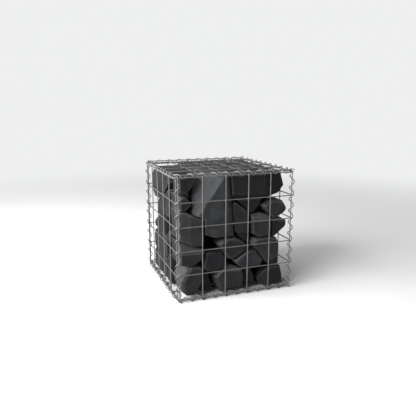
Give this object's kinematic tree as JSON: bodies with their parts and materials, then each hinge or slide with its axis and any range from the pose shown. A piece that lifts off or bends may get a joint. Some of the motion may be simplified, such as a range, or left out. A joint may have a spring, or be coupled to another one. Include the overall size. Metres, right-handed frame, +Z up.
{
  "type": "gabion basket filled with stones",
  "caption": "Free-standing cube of welded wire mesh, laced along its edges with spiral binders and packed with angular dark basalt blocks.",
  "frame": {"origin": "on the ground under the middle of the basket", "axes": "+Z up; +X along the front face, towards the right as one looks at it; +Y from the front face to the back"},
  "size_m": [0.5322, 0.5322, 0.5322],
  "materials": {
    "mesh": "galvanised, dull",
    "spirals": "galvanised, dull",
    "basalt": "split, rough"
  },
  "bodies": {
    "root": {"front_panel": "mesh", "back_panel": "mesh", "left_panel": "mesh", "right_panel": "mesh", "base_panel": "mesh", "lid_panel": "mesh", "top_front_spiral": "spirals", "top_back_spiral": "spirals", "top_left_spiral": "spirals", "top_right_spiral": "spirals", "bottom_front_spiral": "spirals", "bottom_back_spiral": "spirals", "bottom_left_spiral": "spirals", "bottom_right_spiral": "spirals", "front_left_spiral": "spirals", "front_right_spiral": "spirals", "back_left_spiral": "spirals", "back_right_spiral": "spirals", "back_stones": "basalt", "bottom_centre_stone": "basalt", "bottom_left_stone": "basalt", "bottom_packing_stone": "basalt", "bottom_right_stone": "basalt", "centre_packing_stone": "basalt", "centre_stone": "basalt", "dark_block_stone": "basalt", "left_block_stone": "basalt", "left_packing_stone": "basalt", "left_stones": "basalt", "left_wedge_stone": "basalt", "long_top_stone": "basalt", "middle_stones": "basalt", "narrow_stone": "basalt", "pointed_stone": "basalt", "right_block_stone": "basalt", "right_packing_stone": "basalt", "right_ridge_stone": "basalt", "right_slab_stone": "basalt", "right_stones": "basalt", "rounded_block_stone": "basalt", "six_sided_stone": "basalt", "small_left_stone": "basalt", "tall_pale_stone": "basalt", "top_left_stone": "basalt"}
  },
  "joints": []
}
